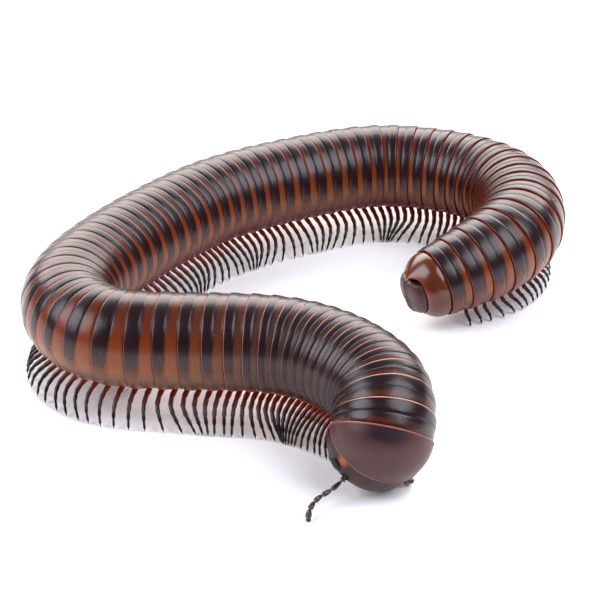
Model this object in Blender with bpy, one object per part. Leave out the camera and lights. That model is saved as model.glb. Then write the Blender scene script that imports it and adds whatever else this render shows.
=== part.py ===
# A giant millipede at life size, standing on its feet in an open curl.
# The head faces -Y and nods to the floor. The trunk runs to -X, back and round.
# The tail ends inside the curl.
# All sizes below are in millimetres, and the model is in metres with +Z up.

import math

import bmesh
import bpy
import numpy as np
from mathutils import Matrix, Vector

MM = 0.001
UP = np.array([0.0, 0.0, 1.0])
# Moves the finished model so that the middle of its footprint is the origin
CENTRING = (0.0, 1.55, 0.0)
LINE_SAMPLES = 4001
SHARP_ANGLE = 28.0
CUT_TOLERANCE = 1e-7

# Colour and roughness of each material
CUTICLE = ((0.115, 0.035, 0.02), 0.25)
HEAD_SHELL = ((0.075, 0.03, 0.03), 0.22)
EYE_BLACK = ((0.012, 0.01, 0.01), 0.15)
FEELER = ((0.03, 0.015, 0.014), 0.35)
TAIL_SHELL = ((0.14, 0.05, 0.02), 0.28)

# Trunk
BODY_RADIUS = 7.0
RING_COUNT = 68
RINGS_PER_LENGTH = 5
GROOVE_DEPTH = 0.35
BODY_SIDES = 16
BELLY_FLATNESS = 0.07
BELLY_EXPONENT = 6
NODE_GAP = 0.3
COLLUM_END = 0.0
TRUNK_END = 188.9
TAIL_TAPER_START = 172.0
TAIL_TAPER = 1.5

# Points of the body's axis: one inside the collum, one at its hind margin, and on to the tip of the tail
SPINE_LEAD = 2.2
SPINE = (
    (9.7, -41.1, 6.25),
    (10.2, -39.75, 8.0),
    (10.45, -38.15, 9.4),
    (10.35, -36.05, 10.35),
    (9.8, -33.95, 10.9),
    (8.75, -31.95, 11.2),
    (7.3, -30.05, 11.4),
    (2.8, -25.8, 11.6),
    (-3.6, -22.7, 11.6),
    (-11.9, -21.4, 11.4),
    (-20.3, -20.3, 11.0),
    (-27.3, -18.8, 10.9),
    (-31.7, -15.2, 10.9),
    (-34.2, -9.5, 10.9),
    (-33.9, -4.0, 10.9),
    (-31.4, 2.8, 10.9),
    (-27.2, 10.2, 10.9),
    (-21.2, 18.6, 10.9),
    (-15.6, 25.0, 10.9),
    (-8.9, 30.2, 10.9),
    (-1.1, 34.6, 10.9),
    (6.3, 38.0, 10.9),
    (13.2, 39.5, 10.9),
    (20.5, 38.4, 10.9),
    (27.8, 35.0, 10.9),
    (33.0, 29.0, 10.9),
    (34.3, 21.6, 10.8),
    (32.7, 14.8, 10.4),
    (28.9, 10.3, 9.4),
    (23.9, 7.1, 8.1),
    (13.7, 1.9, 5.6),
)

# Visible length of a ring at places along the axis: pulled out in one stretch and telescoped at the neck
RING_LENGTHS = (
    (0.0, 2.1),
    (6.0, 1.7),
    (14.0, 1.9),
    (22.0, 2.45),
    (34.0, 2.9),
    (41.0, 3.9),
    (46.0, 3.4),
    (52.0, 2.7),
    (62.0, 2.6),
    (74.0, 3.0),
    (86.0, 3.0),
    (100.0, 2.8),
    (127.0, 3.2),
    (142.0, 2.8),
    (160.0, 2.7),
    (176.0, 3.2),
    (190.0, 3.3),
)

# Legs: one pair on each of the first rings, then two, but one where the rings are pushed together
SINGLE_PAIR_RINGS = 3
LEAST_RING_FOR_TWO_PAIRS = 2.3
LEG_PLACES_ONE = (0.5,)
LEG_PLACES_TWO = (0.27, 0.77)
LEG_ROOT_OUT = 1.5
LEG_ROOT_DEPTH = 1.1
LEG_KNEE_OUT = 4.3
LEG_KNEE_RISE = 0.74
LEG_SHIN_OUT = 6.1
LEG_SHIN_RISE = 0.42
LEG_FOOT_OUT = 6.7
LEG_WIDTHS = (0.9, 0.8, 0.62, 0.34)
# How far outward and downward the leg points at root, knee, shin and foot
LEG_DIRECTIONS = ((0.8, 0.6), (0.7, 0.7), (0.4, 0.9), (0.0, 1.0))
LEG_TRAIL = 0.5
LEG_NECK_TRAIL = 1.1
LEG_NECK_END = 18.0
LEG_SWING = 0.85
LEG_WAVE = 14.0
LEG_WAVE_START = 0.3
LEG_INNER_SHARE = 0.38
BEND_REACH = 1.5
# How far the legs spread, at places along the axis: tucked in at the neck and at the tail
LEG_SPREAD = ((0.0, 0.62), (8.0, 0.8), (15.0, 1.0), (155.0, 1.0), (172.0, 0.66), (184.0, 0.54), (192.0, 0.5))

# Collum: a ball's wedge between its hind margin and a front plane
# The neck is twisted, the head nods and its face is turned a little, in degrees
NECK_ROLL = 34.0
HEAD_NOD = 58.0
FACE_TURN = -10.0
COLLUM_RADIUS = 7.0
COLLUM_FRONT = 1.85
BALL_SIDES = 20
BALL_LEVELS = 14

# Head capsule: a blunt dome round the line that the face looks along
HEAD_RADIUS = 6.55
HEAD_WIDTH = 0.97
HEAD_START = 1.85
HEAD_DEPTH = 5.05
HEAD_BLUNTNESS = 3.0
HEAD_LEVELS = (0.3, 1.6, 2.8, 3.7, 4.4, 4.85)
HEAD_SIDES = 24
HEAD_SLOPE_STEP = 0.05
MOUTH_POINT = (2.8, -0.6)
MOUTH_SLOPE = 15.0
MOUTH_CLEARANCE = 1.0
JAW_SIDE = 2.1
EYE_ALONG = 2.3
EYE_TURN = 66.0
EYE_HALF = (0.4, 1.0, 0.7)
EYE_SIDES = 10
EYE_LEVELS = 6
ANTENNA_ALONG = 2.7
ANTENNA_TURN = 46.0
ANTENNA_RIGHT = ((3.3, -44.8, 2.2), (1.7, -45.9, 1.7), (0.7, -47.2, 1.1), (0.4, -49.5, 0.6))
ANTENNA_LEFT = ((14.1, -40.6, 0.85), (14.1, -39.2, 0.5), (13.7, -37.7, 0.5), (12.6, -35.8, 0.6))
ANTENNA_SHARES = (0.09, 0.19, 0.17, 0.16, 0.15, 0.16, 0.08)
ANTENNA_CLUB = (0.36, 0.33, 0.33, 0.33, 0.35, 0.38, 0.30)
ANTENNA_NECK = 0.25
ANTENNA_SIDES = 8
# An article's narrow root, its widest place and its end, as shares of its length
ARTICLE_ROOT_AT = 0.03
ARTICLE_CLUB_AT = 0.75
ARTICLE_END_AT = 0.97
ARTICLE_END_SHARE = 0.8

# Tail end
TELSON_STATIONS = ((0.15, 5.15), (1.3, 4.95), (2.4, 4.35), (3.2, 3.6))
VALVE_STATIONS = ((0.0, 3.5), (0.5, 3.25), (1.0, 2.5), (1.35, 1.3))
VALVE_HALF_GAP = 0.15
EPIPROCT_LENGTH = 1.1
EPIPROCT_RADIUS = 0.85
EPIPROCT_TIP_RADIUS = 0.25
EPIPROCT_TIP_DROP = 1.36
EPIPROCT_ROOT_DEPTH = 0.8
EPIPROCT_SIDES = 8


def clear_scene():
    for thing in list(bpy.data.objects):
        bpy.data.objects.remove(thing, do_unlink=True)


def make_material(name, look):
    colour, roughness = look
    material = bpy.data.materials.new(name)
    material.use_nodes = True
    shader = material.node_tree.nodes["Principled BSDF"]
    shader.inputs["Base Color"].default_value = (*colour, 1.0)
    shader.inputs["Roughness"].default_value = roughness
    shader.inputs["Metallic"].default_value = 0.0
    material.diffuse_color = (*colour, 1.0)
    return material


# The body's axis: a natural cubic spline through the points, read by distance along it


class BodyAxis:
    def __init__(self, points, lead=0.0):
        self.points = np.array(points)
        steps = np.linalg.norm(np.diff(self.points, axis=0), axis=1)
        self.knots = np.concatenate([[0.0], np.cumsum(steps)])
        self.bends = self.solve_bends(steps)
        fine = np.linspace(0.0, self.knots[-1], LINE_SAMPLES)
        path = np.array([self.spline(value)[0] for value in fine])
        pieces = np.linalg.norm(np.diff(path, axis=0), axis=1)
        self.fine = fine
        self.distance = np.concatenate([[0.0], np.cumsum(pieces)]) - lead
        self.length = float(self.distance[-1])

    def solve_bends(self, steps):
        count = len(self.points)
        matrix = np.eye(count)
        right = np.zeros((count, 3))
        for row in range(1, count - 1):
            before = steps[row - 1]
            after = steps[row]
            matrix[row, row - 1 : row + 2] = (before, 2.0 * (before + after), after)
            slope_after = (self.points[row + 1] - self.points[row]) / after
            slope_before = (self.points[row] - self.points[row - 1]) / before
            right[row] = 6.0 * (slope_after - slope_before)
        return np.linalg.solve(matrix, right)

    def spline(self, value):
        index = int(np.clip(np.searchsorted(self.knots, value) - 1, 0, len(self.knots) - 2))
        step = self.knots[index + 1] - self.knots[index]
        near = (self.knots[index + 1] - value) / step
        far = (value - self.knots[index]) / step
        bend_near = self.bends[index]
        bend_far = self.bends[index + 1]
        place = near * self.points[index] + far * self.points[index + 1]
        place = place + ((near**3 - near) * bend_near + (far**3 - far) * bend_far) * step * step / 6.0
        slope = (self.points[index + 1] - self.points[index]) / step
        slope = slope + ((3.0 * far**2 - 1.0) * bend_far - (3.0 * near**2 - 1.0) * bend_near) * step / 6.0
        return place, slope / np.linalg.norm(slope)

    def frame(self, distance):
        """Place, direction to the tail, up and the animal's own right at this distance."""
        place, tailward = self.spline(float(np.interp(distance, self.distance, self.fine)))
        up = UP - tailward * tailward[2]
        up = up / np.linalg.norm(up)
        return place, tailward, up, np.cross(up, tailward)

    def bend(self, distance, side):
        """How sharply the line turns towards this side (1 right, -1 left), as one over the radius."""
        before = self.frame(distance - BEND_REACH)[1]
        after = self.frame(distance + BEND_REACH)[1]
        return max(0.0, side * float((after - before) @ self.frame(distance)[3]) / (2.0 * BEND_REACH))


AXIS = BodyAxis(SPINE, SPINE_LEAD)


def ring_margins():
    """Distances of the hind margins, from the collum's to the last ring's."""
    fine = np.linspace(COLLUM_END, TRUNK_END, LINE_SAMPLES)
    places = [entry[0] for entry in RING_LENGTHS]
    lengths = [entry[1] for entry in RING_LENGTHS]
    rate = 1.0 / np.interp(fine, places, lengths)
    count = np.concatenate([[0.0], np.cumsum((rate[1:] + rate[:-1]) / 2.0 * np.diff(fine))])
    wanted = np.linspace(0.0, count[-1], RING_COUNT + 1)
    return np.interp(wanted, count, fine)


def body_radius(distance):
    past = max(0.0, distance - TAIL_TAPER_START) / (TRUNK_END - TAIL_TAPER_START)
    return BODY_RADIUS - TAIL_TAPER * past * past


def section(frame, radius, sides, shift=0.0):
    """Points round one cross-section, flattened a little under the belly."""
    place, tailward, up, right = frame
    points = []
    for step in range(sides):
        angle = 2.0 * math.pi * step / sides
        under = max(0.0, -math.sin(angle)) ** BELLY_EXPONENT
        reach = radius * (1.0 - BELLY_FLATNESS * under)
        points.append(place + tailward * shift + reach * (math.cos(angle) * right + math.sin(angle) * up))
    return points


def circle(centre, right, up, radius, sides):
    angles = [2.0 * math.pi * step / sides for step in range(sides)]
    return [centre + radius * (math.cos(angle) * right + math.sin(angle) * up) for angle in angles]


def loft(loops):
    """A closed bmesh through loops of points that all have the same count."""
    mesh = bmesh.new()
    rows = [[mesh.verts.new(Vector(point) * MM) for point in loop] for loop in loops]
    sides = len(rows[0])
    for first, second in zip(rows, rows[1:]):
        for step in range(sides):
            after = (step + 1) % sides
            mesh.faces.new((first[step], first[after], second[after], second[step]))
    mesh.faces.new(list(reversed(rows[0])))
    mesh.faces.new(rows[-1])
    bmesh.ops.recalc_face_normals(mesh, faces=mesh.faces)
    return mesh


def add_object(name, mesh, material):
    data = bpy.data.meshes.new(name)
    mesh.to_mesh(data)
    mesh.free()
    data.shade_smooth()
    data.set_sharp_from_angle(angle=math.radians(SHARP_ANGLE))
    data.materials.append(material)
    made = bpy.data.objects.new(name, data)
    bpy.context.scene.collection.objects.link(made)
    return made


def apply_modifiers(made):
    graph = bpy.context.evaluated_depsgraph_get()
    data = bpy.data.meshes.new_from_object(made.evaluated_get(graph))
    made.modifiers.clear()
    old = made.data
    made.data = data
    bpy.data.meshes.remove(old)


def keep_largest_surface(made):
    """Drops sealed hollows and loose scraps that a union can leave."""
    mesh = bmesh.new()
    mesh.from_mesh(made.data)
    unseen = set(mesh.verts)
    groups = []
    while unseen:
        group = {unseen.pop()}
        edge_of_group = list(group)
        while edge_of_group:
            vertex = edge_of_group.pop()
            near = {edge.other_vert(vertex) for edge in vertex.link_edges} & unseen
            unseen -= near
            group |= near
            edge_of_group.extend(near)
        groups.append(group)
    largest = max(groups, key=len)
    loose = [vertex for group in groups if group is not largest for vertex in group]
    bmesh.ops.delete(mesh, geom=loose, context="VERTS")
    mesh.to_mesh(made.data)
    mesh.free()


def combine(made, others, operation):
    """One Boolean with a collection of closed mesh objects, applied, with those objects then removed."""
    group = bpy.data.collections.new(made.name + "_pieces")
    bpy.context.scene.collection.children.link(group)
    for other in others:
        bpy.context.scene.collection.objects.unlink(other)
        group.objects.link(other)
    modifier = made.modifiers.new("joined", "BOOLEAN")
    modifier.operation = operation
    modifier.operand_type = "COLLECTION"
    modifier.collection = group
    modifier.solver = "EXACT"
    bpy.context.view_layer.update()
    apply_modifiers(made)
    for other in others:
        bpy.data.objects.remove(other, do_unlink=True)
    bpy.data.collections.remove(group)
    keep_largest_surface(made)


# Trunk rings and legs


def trunk_mesh(margins, first, last):
    """Rings first to last, each a little wider at its hind margin, with plane ends half a gap inside."""
    loops = []
    for ring in range(first, last + 1):
        front = margins[ring]
        hind = margins[ring + 1]
        front_shift = NODE_GAP / 2.0 if ring == first else 0.0
        hind_shift = -NODE_GAP / 2.0 if ring == last else 0.0
        loops.append(section(AXIS.frame(front), body_radius(front) - GROOVE_DEPTH, BODY_SIDES, front_shift))
        loops.append(section(AXIS.frame(hind), body_radius(hind), BODY_SIDES, hind_shift))
    return loft(loops)


def leg_spread(distance, side):
    """Less at the neck and tail, and on the inside of a bend so that neighbouring legs keep clear."""
    places = [entry[0] for entry in LEG_SPREAD]
    shares = [entry[1] for entry in LEG_SPREAD]
    spread = float(np.interp(distance, places, shares))
    bend = AXIS.bend(distance, side)
    if bend == 0.0:
        return spread
    return min(spread, LEG_INNER_SHARE / (bend * LEG_SHIN_OUT))


def leg_mesh(distance, side):
    """One arched leg of four stations, from inside the belly to a small flat on the floor."""
    place, tailward, up, right = AXIS.frame(distance)
    level = np.array([right[0], right[1], 0.0])
    level = side * level / np.linalg.norm(level)
    rearward = np.cross(level, UP) * side
    belly = place - up * body_radius(distance) * (1.0 - BELLY_FLATNESS)
    belly_height = belly[2]
    reach = leg_spread(distance, side)
    trail = reach * float(np.interp(distance, (0.0, LEG_NECK_END), (LEG_NECK_TRAIL, LEG_TRAIL)))
    swing = LEG_SWING * reach * math.sin(2.0 * math.pi * distance / LEG_WAVE + LEG_WAVE_START * side)
    root = belly + up * LEG_ROOT_DEPTH + side * right * LEG_ROOT_OUT
    floor = np.array([belly[0], belly[1], 0.0])
    knee = floor + level * LEG_KNEE_OUT * reach + UP * belly_height * LEG_KNEE_RISE + rearward * trail
    shin = floor + level * LEG_SHIN_OUT * reach + UP * belly_height * LEG_SHIN_RISE
    shin = shin + rearward * (trail + swing) / 2.0
    foot = floor + level * LEG_FOOT_OUT * reach + rearward * swing
    stations = (root, knee, shin, foot)
    loops = []
    for point, (outward, downward), width in zip(stations, LEG_DIRECTIONS, LEG_WIDTHS):
        across = np.cross(level * outward - UP * downward, rearward)
        across = across / np.linalg.norm(across)
        half = width / 2.0
        corners = ((1, 1), (-1, 1), (-1, -1), (1, -1))
        loops.append([point + half * (a * rearward + b * across) for a, b in corners])
    return loft(loops)


def leg_places(ring, margins):
    length = margins[ring + 1] - margins[ring]
    if ring >= RING_COUNT - 1:
        return ()
    if ring < SINGLE_PAIR_RINGS or length < LEAST_RING_FOR_TWO_PAIRS:
        return LEG_PLACES_ONE
    return LEG_PLACES_TWO


def build_trunk(material):
    margins = ring_margins()
    number = 0
    for first in range(0, RING_COUNT, RINGS_PER_LENGTH):
        last = min(first + RINGS_PER_LENGTH, RING_COUNT) - 1
        number += 1
        name = f"trunk_{number:02d}"
        length = add_object(name, trunk_mesh(margins, first, last), material)
        legs = []
        for ring in range(first, last + 1):
            for place in leg_places(ring, margins):
                distance = margins[ring] + place * (margins[ring + 1] - margins[ring])
                for side in (1, -1):
                    legs.append(add_object(f"leg_{len(legs)}", leg_mesh(distance, side), material))
        combine(length, legs, "UNION")


# Head end


def head_frame():
    """Middle of the collum's hind margin, and ahead, crown and right there, with the neck's twist."""
    place, tailward, up, right = AXIS.frame(COLLUM_END)
    roll = math.radians(NECK_ROLL)
    crown = math.cos(roll) * up - math.sin(roll) * right
    return place, -tailward, crown, math.cos(roll) * right + math.sin(roll) * up


def face_frame():
    """The same with the nod: the line that the face looks along, the crown of the head and its right."""
    place, ahead, crown, right = head_frame()
    nod = math.radians(HEAD_NOD)
    face = math.cos(nod) * ahead - math.sin(nod) * crown
    return place, face, math.cos(nod) * crown + math.sin(nod) * ahead, right


def basis(columns, place):
    matrix = Matrix.Identity(4)
    for column, axis in enumerate(columns):
        for row in range(3):
            matrix[row][column] = axis[row]
    for row in range(3):
        matrix[row][3] = place[row] * MM
    return matrix


def ball(half, columns, place, around, levels):
    mesh = bmesh.new()
    bmesh.ops.create_uvsphere(mesh, u_segments=around, v_segments=levels, radius=MM)
    bmesh.ops.scale(mesh, vec=half, verts=mesh.verts)
    bmesh.ops.transform(mesh, matrix=basis(columns, place), verts=mesh.verts)
    bmesh.ops.recalc_face_normals(mesh, faces=mesh.faces)
    return mesh


def slice_away(mesh, point, normal):
    """Cuts off what lies on the normal's side of the plane and closes the cut."""
    cut = bmesh.ops.bisect_plane(
        mesh,
        geom=mesh.verts[:] + mesh.edges[:] + mesh.faces[:],
        dist=CUT_TOLERANCE,
        plane_co=Vector(point) * MM,
        plane_no=Vector(normal),
        clear_outer=True,
    )
    edges = [item for item in cut["geom_cut"] if isinstance(item, bmesh.types.BMEdge)]
    bmesh.ops.holes_fill(mesh, edges=edges, sides=0)
    bmesh.ops.recalc_face_normals(mesh, faces=mesh.faces)


def build_collum(material):
    place, ahead, crown, right = head_frame()
    face = face_frame()[1]
    mesh = ball((COLLUM_RADIUS,) * 3, (ahead, crown, right), place, BALL_SIDES, BALL_LEVELS)
    slice_away(mesh, place + ahead * NODE_GAP / 2.0, -ahead)
    slice_away(mesh, place + face * COLLUM_FRONT, face)
    return add_object("collum", mesh, material)


def head_radius(along):
    """Radius of the capsule at this distance past the collum's front margin."""
    share = min(1.0, along / HEAD_DEPTH)
    return HEAD_RADIUS * (1.0 - share**HEAD_BLUNTNESS) ** (1.0 / HEAD_BLUNTNESS)


def on_head(along, turn):
    """A point on the capsule at this turn from the crown to the right, and the way out from it."""
    place, face, crown, right = face_frame()
    angle = math.radians(turn)
    radius = head_radius(along)
    fall = head_radius(along + HEAD_SLOPE_STEP) - head_radius(along - HEAD_SLOPE_STEP)
    slope = fall / (2.0 * HEAD_SLOPE_STEP)
    spoke = math.cos(angle) * crown + math.sin(angle) * HEAD_WIDTH * right
    point = place + face * (HEAD_START + along) + radius * spoke
    outward = spoke - face * slope
    return point, outward / np.linalg.norm(outward)


def head_capsule():
    """The whole head, cut clear of the first ring."""
    place, ahead, _, _ = head_frame()
    loops = []
    for along in HEAD_LEVELS:
        turns = [360.0 * step / HEAD_SIDES for step in range(HEAD_SIDES)]
        loops.append([on_head(along, turn)[0] for turn in turns])
    mesh = loft(loops)
    slice_away(mesh, place + ahead * NODE_GAP, -ahead)
    return mesh


def head_part(name, cuts, material):
    mesh = head_capsule()
    for point, normal in cuts:
        slice_away(mesh, point, normal)
    return add_object(name, mesh, material)


def build_head(shell, mouth, eye):
    place, face, crown, right = face_frame()
    hinge = place + face * MOUTH_POINT[0] + crown * MOUTH_POINT[1]
    slope = math.radians(MOUTH_SLOPE)
    chin = -math.cos(slope) * crown - math.sin(slope) * face
    half = NODE_GAP / 2.0
    capsule = head_part("head", ((hinge, chin),), shell)
    ahead = head_frame()[1]
    below = ((hinge + chin * NODE_GAP, -chin), (place + ahead * MOUTH_CLEARANCE, -ahead))
    lip_sides = ((place + right * (JAW_SIDE - half), right), (place - right * (JAW_SIDE - half), -right))
    head_part("lower_lip", (*below, *lip_sides), mouth)
    head_part("jaw_right", (*below, (place + right * (JAW_SIDE + half), -right)), mouth)
    head_part("jaw_left", (*below, (place - right * (JAW_SIDE + half), right)), mouth)
    sockets = []
    for side, name in ((1, "eye_right"), (-1, "eye_left")):
        point, outward = on_head(EYE_ALONG, FACE_TURN + side * EYE_TURN)
        level = np.cross(outward, face)
        level = level / np.linalg.norm(level)
        columns = (outward, level, np.cross(outward, level))
        add_object(name, ball(EYE_HALF, columns, point, EYE_SIDES, EYE_LEVELS), eye)
        wide = tuple(size + NODE_GAP for size in EYE_HALF)
        socket = ball(wide, columns, point, EYE_SIDES, EYE_LEVELS)
        sockets.append(add_object(name + "_socket", socket, eye))
    combine(capsule, sockets, "DIFFERENCE")


def antenna_mesh(side, path):
    """Seven club-shaped articles, one after another along a bent line from the head."""
    start, outward = on_head(ANTENNA_ALONG, FACE_TURN + side * ANTENNA_TURN)
    line = BodyAxis([tuple(start + outward * NODE_GAP), *path])
    loops = []
    distance = 0.0
    for share, club in zip(ANTENNA_SHARES, ANTENNA_CLUB):
        length = share * line.length
        stations = (
            (ARTICLE_ROOT_AT, ANTENNA_NECK),
            (ARTICLE_CLUB_AT, club),
            (ARTICLE_END_AT, club * ARTICLE_END_SHARE),
        )
        for at, radius in stations:
            centre, _, up, right = line.frame(distance + at * length)
            loops.append(circle(centre, right, up, radius, ANTENNA_SIDES))
        distance += length
    return loft(loops)


def build_antennae(material):
    add_object("antenna_right", antenna_mesh(1, ANTENNA_RIGHT), material)
    add_object("antenna_left", antenna_mesh(-1, ANTENNA_LEFT), material)


# Tail end


def build_tail(shell, valve_material):
    last_station = TELSON_STATIONS[-1][0]
    frames = [(AXIS.frame(TRUNK_END + at), radius) for at, radius in TELSON_STATIONS]
    dome = loft([section(frame, radius, BODY_SIDES) for frame, radius in frames])
    telson = add_object("telson", dome, shell)
    place, tailward, up, right = AXIS.frame(TRUNK_END + last_station)
    rim = TELSON_STATIONS[-1][1]
    root = place + up * (rim - EPIPROCT_RADIUS) - tailward * EPIPROCT_ROOT_DEPTH
    tip = place + up * (rim - EPIPROCT_TIP_DROP) + tailward * EPIPROCT_LENGTH
    root_loop = circle(root, right, up, EPIPROCT_RADIUS, EPIPROCT_SIDES)
    tip_loop = circle(tip, right, up, EPIPROCT_TIP_RADIUS, EPIPROCT_SIDES)
    spike = add_object("spike", loft((root_loop, tip_loop)), shell)
    combine(telson, [spike], "UNION")
    base = TRUNK_END + last_station + NODE_GAP
    for side, name in ((1, "anal_valve_right"), (-1, "anal_valve_left")):
        loops = [section(AXIS.frame(base + at), radius, BODY_SIDES) for at, radius in VALVE_STATIONS]
        mesh = loft(loops)
        slice_away(mesh, place + side * right * VALVE_HALF_GAP, -side * right)
        slice_away(mesh, tip - up * (EPIPROCT_RADIUS + NODE_GAP), up)
        add_object(name, mesh, valve_material)


def main():
    clear_scene()
    cuticle = make_material("cuticle", CUTICLE)
    head_shell = make_material("head_shell", HEAD_SHELL)
    eye_black = make_material("eye_black", EYE_BLACK)
    feeler = make_material("feeler", FEELER)
    tail_shell = make_material("tail_shell", TAIL_SHELL)
    build_trunk(cuticle)
    build_collum(head_shell)
    build_head(head_shell, feeler, eye_black)
    build_antennae(feeler)
    build_tail(tail_shell, head_shell)
    centring = Matrix.Translation(Vector(CENTRING) * MM)
    for made in bpy.context.scene.objects:
        made.data.transform(centring)


main()
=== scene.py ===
import math
import random

import bmesh
import bpy
import numpy as np
from mathutils import Matrix, Vector


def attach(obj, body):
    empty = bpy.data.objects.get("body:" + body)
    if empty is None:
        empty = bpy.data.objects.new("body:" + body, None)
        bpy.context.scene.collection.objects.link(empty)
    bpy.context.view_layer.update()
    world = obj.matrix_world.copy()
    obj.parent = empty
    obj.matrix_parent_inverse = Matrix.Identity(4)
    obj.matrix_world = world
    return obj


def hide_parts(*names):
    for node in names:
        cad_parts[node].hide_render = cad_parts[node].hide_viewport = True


# A giant millipede in an open curl: glossy banded rings, jointed legs, nodding head, blunt tail.
# Shapes are worked out in millimetres and become metres as each piece is finished.

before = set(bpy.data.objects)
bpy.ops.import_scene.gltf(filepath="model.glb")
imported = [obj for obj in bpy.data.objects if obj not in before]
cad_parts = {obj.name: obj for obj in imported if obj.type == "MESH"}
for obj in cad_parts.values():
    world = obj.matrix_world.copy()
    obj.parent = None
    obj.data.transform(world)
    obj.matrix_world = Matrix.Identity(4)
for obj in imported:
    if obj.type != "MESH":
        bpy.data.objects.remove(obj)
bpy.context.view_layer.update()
mm = 0.001
centring = (0.0, 1.55, 0.0)
worldUp = np.array([0.0, 0.0, 1.0])
lineSamples = 4001
mergeDistance = 0.0005
cutTolerance = 0.00001
nudge = 0.05
draws = random.Random(68)

# Camera, floor and light

studio = {
    "lens": 120.0,
    "sensor": 36.0,
    "cameraPlace": (-0.7, -263.45, 147.6),
    "cameraPitch": 62.0,
    "cameraReach": (0.01, 20.0),
    "floorSize": 6000.0,
    "paper": {"ior": 1.5, "roughness": 0.7, "specularLevel": 0.3, "colour": "fafafb"},
    "paperGlow": 0.06,
    "worldColour": "f2f2f4",
    "worldStrength": 0.15,
    "softboxes": (
        # name, direction from the model, distance, size, power in watts, colour
        ("behind", (0.0, 0.82, 0.57), 700.0, (1300.0, 480.0), 13.5, "fff6f3"),
        ("right", (0.55, -0.25, 0.79), 620.0, (480.0, 440.0), 4.0, "f6f6ff"),
        ("left", (-0.75, -0.18, 0.62), 620.0, (420.0, 380.0), 3.2, "f6f6ff"),
    ),
}


def hexColour(code):
    channels = [int(code[at : at + 2], 16) / 255.0 for at in (0, 2, 4)]
    linear = [((c + 0.055) / 1.055) ** 2.4 if c > 0.04045 else c / 12.92 for c in channels]
    return (*linear, 1.0)


def stopColour(value):
    # a stop of a ramp is an sRGB colour or a grey number
    return hexColour(value) if isinstance(value, str) else (value, value, value, 1.0)


def addNode(tree, kind, settings=None, links=None):
    node = tree.nodes.new("ShaderNode" + kind)
    for name, value in (settings or {}).items():
        if name == "stops":  # (position, colour) pairs of a colour ramp, lowest first
            elements = node.color_ramp.elements
            elements[0].position, elements[0].color = value[0][0], stopColour(value[0][1])
            elements[-1].position, elements[-1].color = value[-1][0], stopColour(value[-1][1])
            for position, colour in value[1:-1]:
                elements.new(position).color = stopColour(colour)
        elif isinstance(name, int) or name in node.inputs:
            node.inputs[name].default_value = value
        else:
            setattr(node, name, value)
    for name, source in (links or {}).items():
        tree.links.new(source, node.inputs[name])
    return node


def startMaterial(name, look):
    material = bpy.data.materials.new(name)
    material.use_nodes = True
    shader = material.node_tree.nodes["Principled BSDF"]
    shader.inputs["IOR"].default_value = look["ior"]
    shader.inputs["Roughness"].default_value = look["roughness"]
    shader.inputs["Specular IOR Level"].default_value = look["specularLevel"]
    return material, material.node_tree, shader


def readMark(tree, name):
    # the three numbers that a surface keeps under a name
    mark = addNode(tree, "Attribute", {"attribute_name": name})
    return addNode(tree, "SeparateXYZ", links={"Vector": mark.outputs["Vector"]}).outputs


def addGrain(tree, shader, place, colour, grain):
    # fine grain that mottles a colour and, where it has a depth, pits the surface
    noise = addNode(
        tree,
        "TexNoise",
        {"Scale": 1.0 / (grain["size"] * mm), "Detail": grain["detail"]},
        {"Vector": place},
    )
    low, high = grain["span"]
    dark, bright = grain["shade"]
    shade = addNode(
        tree,
        "MapRange",
        {"From Min": low, "From Max": high, "To Min": dark, "To Max": bright},
        {"Value": noise.outputs["Fac"]},
    )
    if grain["depth"]:
        pits = addNode(
            tree,
            "Bump",
            {"Strength": grain["strength"], "Distance": grain["depth"] * mm},
            {"Height": noise.outputs["Fac"]},
        )
        tree.links.new(pits.outputs["Normal"], shader.inputs["Normal"])
    links = {0: colour, "Scale": shade.outputs[0]}
    return addNode(tree, "VectorMath", {"operation": "SCALE"}, links).outputs[0]


def varyGloss(tree, shader, noise, look):
    spread = look["roughnessSpread"]
    settings = {"operation": "MULTIPLY_ADD", 1: spread, 2: look["roughness"] - spread / 2.0}
    gloss = addNode(tree, "Math", settings, {0: noise})
    tree.links.new(gloss.outputs[0], shader.inputs["Roughness"])


def addObject(name, bm, material):
    data = bpy.data.meshes.new(name)
    bm.to_mesh(data)
    bm.free()
    data.shade_smooth()
    data.materials.append(material)
    piece = bpy.data.objects.new(name, data)
    bpy.context.scene.collection.objects.link(piece)
    return piece


def finishPiece(name, bm, material, nodes):
    bmesh.ops.translate(bm, vec=centring, verts=bm.verts)
    bmesh.ops.scale(bm, vec=(mm, mm, mm), verts=bm.verts)
    piece = addObject(name, bm, material)
    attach(piece, "root")
    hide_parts(*nodes)
    return piece


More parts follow.
